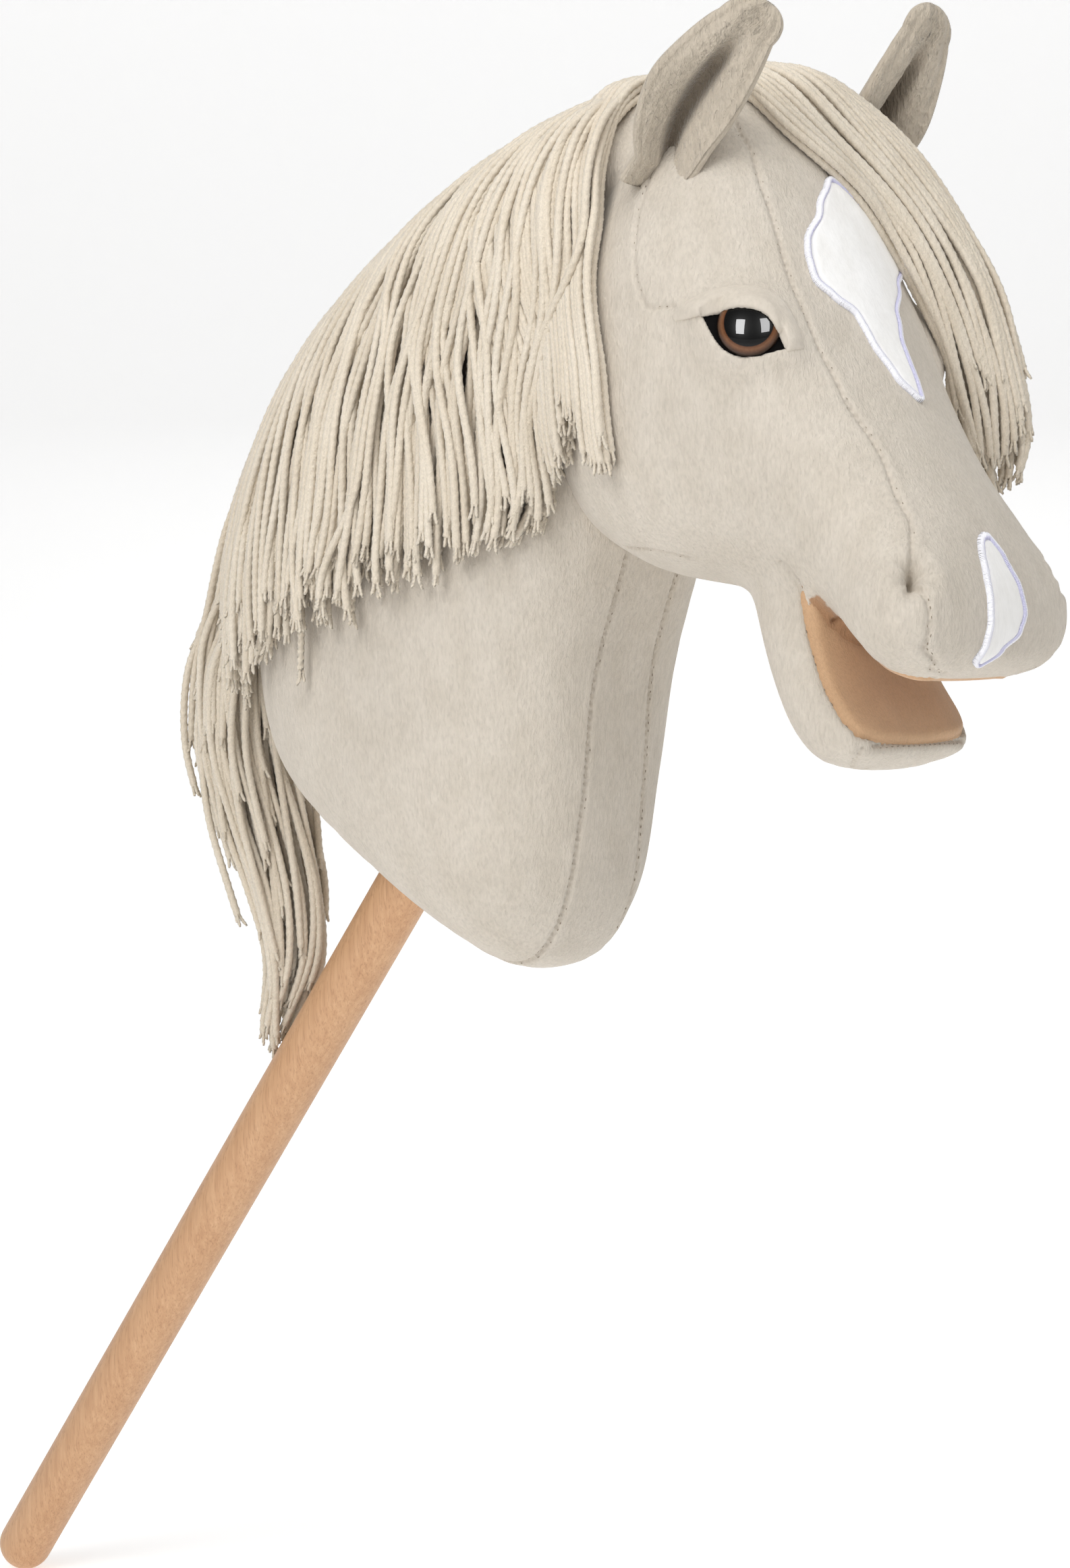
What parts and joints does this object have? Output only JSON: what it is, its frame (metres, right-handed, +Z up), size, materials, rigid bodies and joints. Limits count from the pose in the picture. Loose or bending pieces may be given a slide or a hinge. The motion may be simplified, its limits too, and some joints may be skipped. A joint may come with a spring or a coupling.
{
  "type": "hobby horse",
  "caption": "Stuffed plush horse head and neck with yarn mane, forelock, plastic eyes and open mouth, on a round wooden stick; the head pulls off and the ears bend.",
  "frame": {"origin": "middle of the small flat on the stick's lower end", "axes": "+X the way the horse faces, +Y the horse's left, +Z up; the stick leans 36.6 degrees forward from upright in the XZ plane"},
  "size_m": [0.6287, 0.1751, 0.7819],
  "materials": {
    "stick": "sanded beech rod, clear satin finish",
    "stick_sleeve": "woven cotton tube, hidden inside",
    "sleeve_cap": "woven cotton disc, hidden inside",
    "head_filling": "loose polyester fibre filling, hidden inside",
    "neck_filling": "loose polyester fibre filling, hidden inside",
    "jaw_filling": "loose polyester fibre filling, hidden inside",
    "face_panel_right": "short soft plush, warm beige",
    "face_panel_left": "short soft plush, warm beige",
    "forehead_gusset": "short soft plush, warm beige",
    "chin_gusset": "short soft plush, warm beige",
    "palate_lining": "very short pile, tan brown",
    "jaw_lining": "very short pile, tan brown",
    "neck_panel_right": "short soft plush, warm beige",
    "neck_panel_left": "short soft plush, warm beige",
    "throat_gusset": "short soft plush, warm beige",
    "eye_right": "polished dome, brown ring round a black pupil",
    "eye_left": "polished dome, brown ring round a black pupil",
    "eye_washer_right": "moulded locking washer, hidden inside",
    "eye_washer_left": "moulded locking washer, hidden inside",
    "eye_pad_right": "black felt almond behind the eye",
    "eye_pad_left": "black felt almond behind the eye",
    "eyelid_right": "folded strip of short plush",
    "eyelid_left": "folded strip of short plush",
    "blaze_patch": "white short plush",
    "snip_patch": "white short plush",
    "blaze_edging": "satin stitch in pale lilac and white thread",
    "snip_edging": "satin stitch in pale lilac and white thread",
    "ear_shell_right": "short soft plush",
    "ear_shell_left": "short soft plush",
    "ear_lining_right": "longer fluffy pile",
    "ear_lining_left": "longer fluffy pile",
    "mane_tape": "woven tape under the yarn",
    "forelock_tape": "woven tape under the yarn",
    "mane_right": "plied cream yarn",
    "mane_left": "plied cream yarn",
    "mane_tuft": "plied cream yarn",
    "forelock": "plied cream yarn"
  },
  "bodies": {
    "stick": {"stick": "stick"},
    "head": {"stick_sleeve": "stick_sleeve", "sleeve_cap": "sleeve_cap", "head_filling": "head_filling", "neck_filling": "neck_filling", "jaw_filling": "jaw_filling", "face_panel_right": "face_panel_right", "face_panel_left": "face_panel_left", "forehead_gusset": "forehead_gusset", "chin_gusset": "chin_gusset", "palate_lining": "palate_lining", "jaw_lining": "jaw_lining", "neck_panel_right": "neck_panel_right", "neck_panel_left": "neck_panel_left", "throat_gusset": "throat_gusset", "eye_right": "eye_right", "eye_left": "eye_left", "eye_washer_right": "eye_washer_right", "eye_washer_left": "eye_washer_left", "eye_pad_right": "eye_pad_right", "eye_pad_left": "eye_pad_left", "eyelid_right": "eyelid_right", "eyelid_left": "eyelid_left", "blaze_patch": "blaze_patch", "snip_patch": "snip_patch", "blaze_edging": "blaze_edging", "snip_edging": "snip_edging", "mane_tape": "mane_tape", "forelock_tape": "forelock_tape", "mane_right": "mane_right", "mane_left": "mane_left", "mane_tuft": "mane_tuft", "forelock": "forelock"},
    "ear_right": {"ear_shell_right": "ear_shell_right", "ear_lining_right": "ear_lining_right"},
    "ear_left": {"ear_shell_left": "ear_shell_left", "ear_lining_left": "ear_lining_left"}
  },
  "joints": [
    {"name": "head_pull", "type": "slide", "parent": "stick", "child": "head", "axis": [0.5962, 0, 0.8028], "range_m": [0, 0.24]},
    {"name": "ear_right_bend", "type": "hinge", "parent": "head", "child": "ear_right", "pos_m": [0.4808, -0.0583, 0.6977], "axis": [0.828, 0.434, 0.355], "range_deg": [-20, 20], "stiffness_Nm_per_rad": 0.2},
    {"name": "ear_left_bend", "type": "hinge", "parent": "head", "child": "ear_left", "pos_m": [0.4967, 0.0535, 0.7015], "axis": [0.828, -0.434, 0.355], "range_deg": [-20, 20], "stiffness_Nm_per_rad": 0.2}
  ]
}
